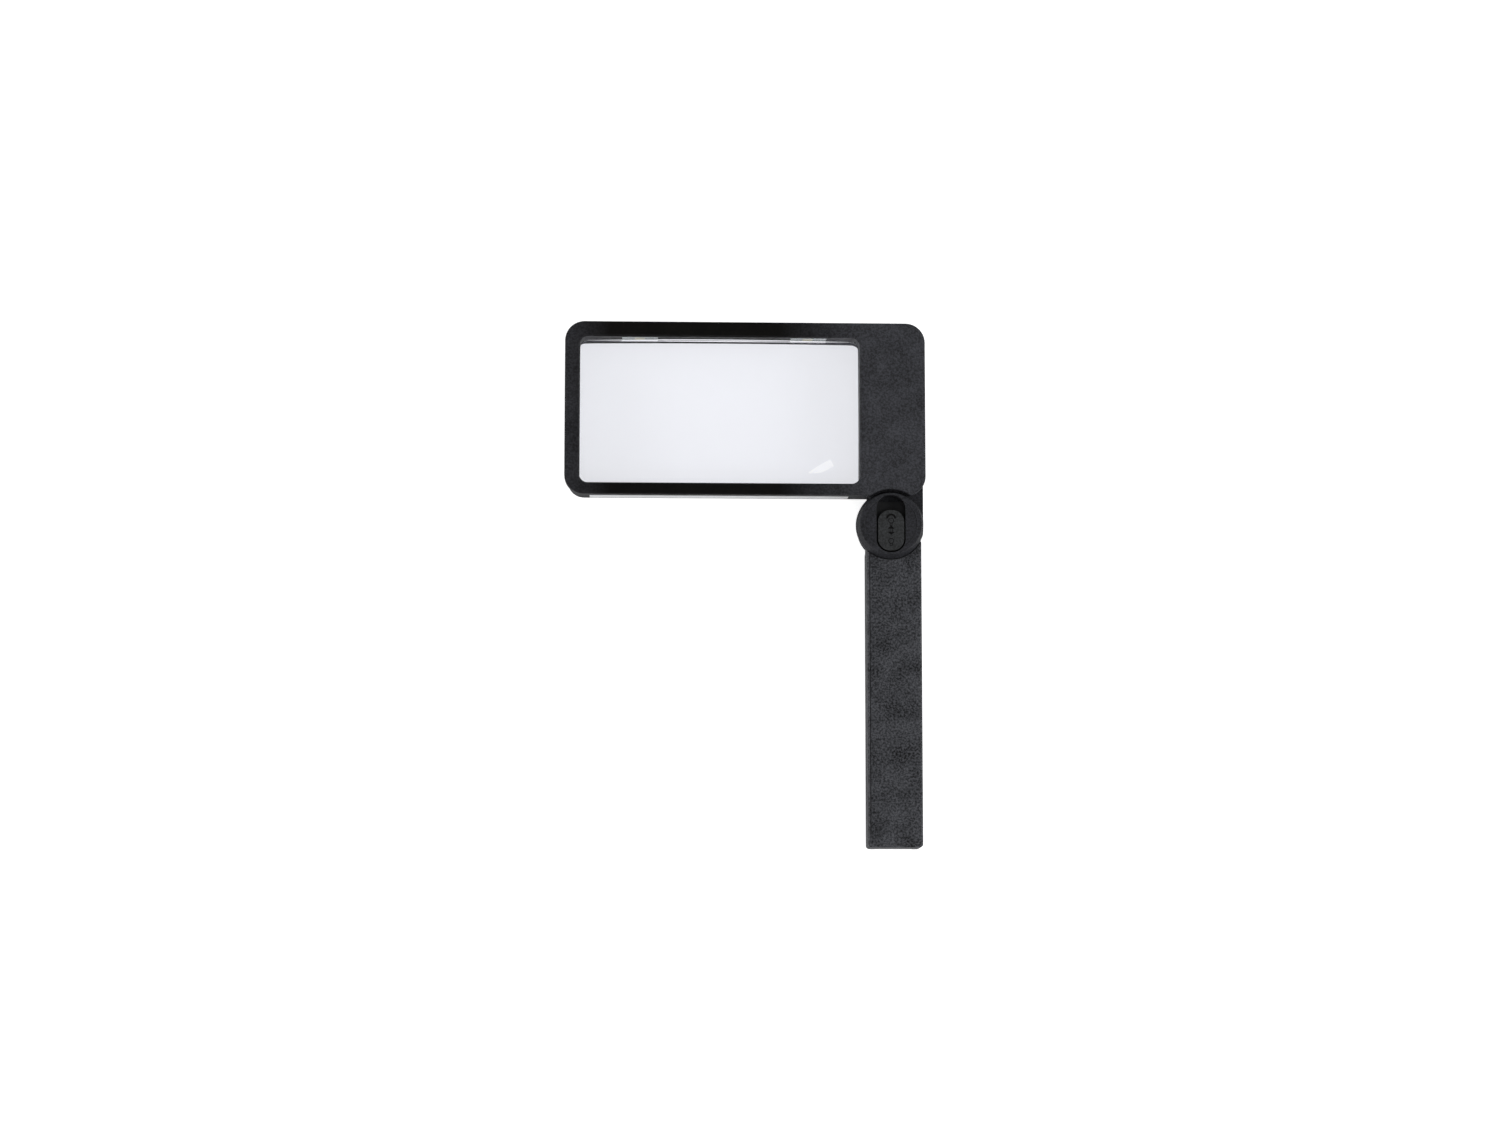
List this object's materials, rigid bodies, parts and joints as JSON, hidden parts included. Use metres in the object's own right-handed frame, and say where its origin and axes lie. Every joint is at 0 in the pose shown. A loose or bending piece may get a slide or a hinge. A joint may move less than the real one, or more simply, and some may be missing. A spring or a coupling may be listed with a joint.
{
  "type": "folding illuminated reading magnifier",
  "caption": "Rectangular hand lens with a round stronger spot, lit from its upper rail, on a folding battery handle with a slide switch in the hinge hub.",
  "frame": {"origin": "on the hinge axis, at the flat back of the hub", "axes": "+Y from the hinge towards the lens frame, -Y along the open handle, +Z out of the front of the lens, +X towards the hinge end of the frame"},
  "size_m": [0.1287, 0.1872, 0.0178],
  "materials": {
    "frame_plastic": "fine spark-eroded texture",
    "hub_plastic": "fine spark-eroded texture",
    "knob_plastic": "fine spark-eroded texture",
    "handle_plastic": "coarse spark-eroded texture",
    "lens_acrylic": "polished",
    "clear_acrylic": "polished",
    "led_phosphor": "smooth",
    "circuit_board": "solder mask",
    "resistor_body": "smooth",
    "lead_insulation": "smooth",
    "screw_steel": "zinc plated",
    "spring_steel": "plated",
    "contact_brass": "bright",
    "cell_can": "printed sleeve"
  },
  "bodies": {
    "frame": {"frame_front_cover": "frame_plastic", "frame_rear_housing": "frame_plastic", "main_lens": "lens_acrylic", "clear_edge_strip": "clear_acrylic", "led_window_left": "clear_acrylic", "led_window_right": "clear_acrylic", "led_chips": "led_phosphor", "led_board": "circuit_board", "driver_board": "circuit_board", "current_resistor": "resistor_body", "led_leads": "lead_insulation", "frame_screws": "screw_steel", "hub_screws": "screw_steel", "hub_front_plate": "hub_plastic", "hub_base_plate": "hub_plastic", "switch_contact_board": "circuit_board", "hinge_contact_inner": "contact_brass", "hinge_contact_outer": "contact_brass", "pivot_tube": "screw_steel", "hinge_friction_washer": "spring_steel"},
    "switch": {"switch_knob": "knob_plastic", "switch_bridge_contact": "contact_brass"},
    "handle": {"handle_front_shell": "handle_plastic", "handle_rear_shell": "handle_plastic", "battery_cell_upper": "cell_can", "battery_cell_lower": "cell_can", "battery_spring": "spring_steel", "positive_contact": "contact_brass", "contact_ring_inner": "contact_brass", "contact_ring_outer": "contact_brass", "positive_lead_strip": "contact_brass", "negative_lead_strip": "contact_brass", "handle_screws": "screw_steel"},
    "door": {"battery_door": "handle_plastic"}
  },
  "joints": [
    {"name": "handle_fold", "type": "hinge", "parent": "frame", "child": "handle", "pos_m": [0, 0, 0.0055], "axis": [0, 0, 1], "range_deg": [-90, 0]},
    {"name": "switch_slide", "type": "slide", "parent": "frame", "child": "switch", "axis": [0, 1, 0], "range_m": [0, 0.0049]},
    {"name": "battery_door_slide", "type": "slide", "parent": "handle", "child": "door", "axis": [0, -1, 0], "range_m": [0, 0.096]}
  ]
}
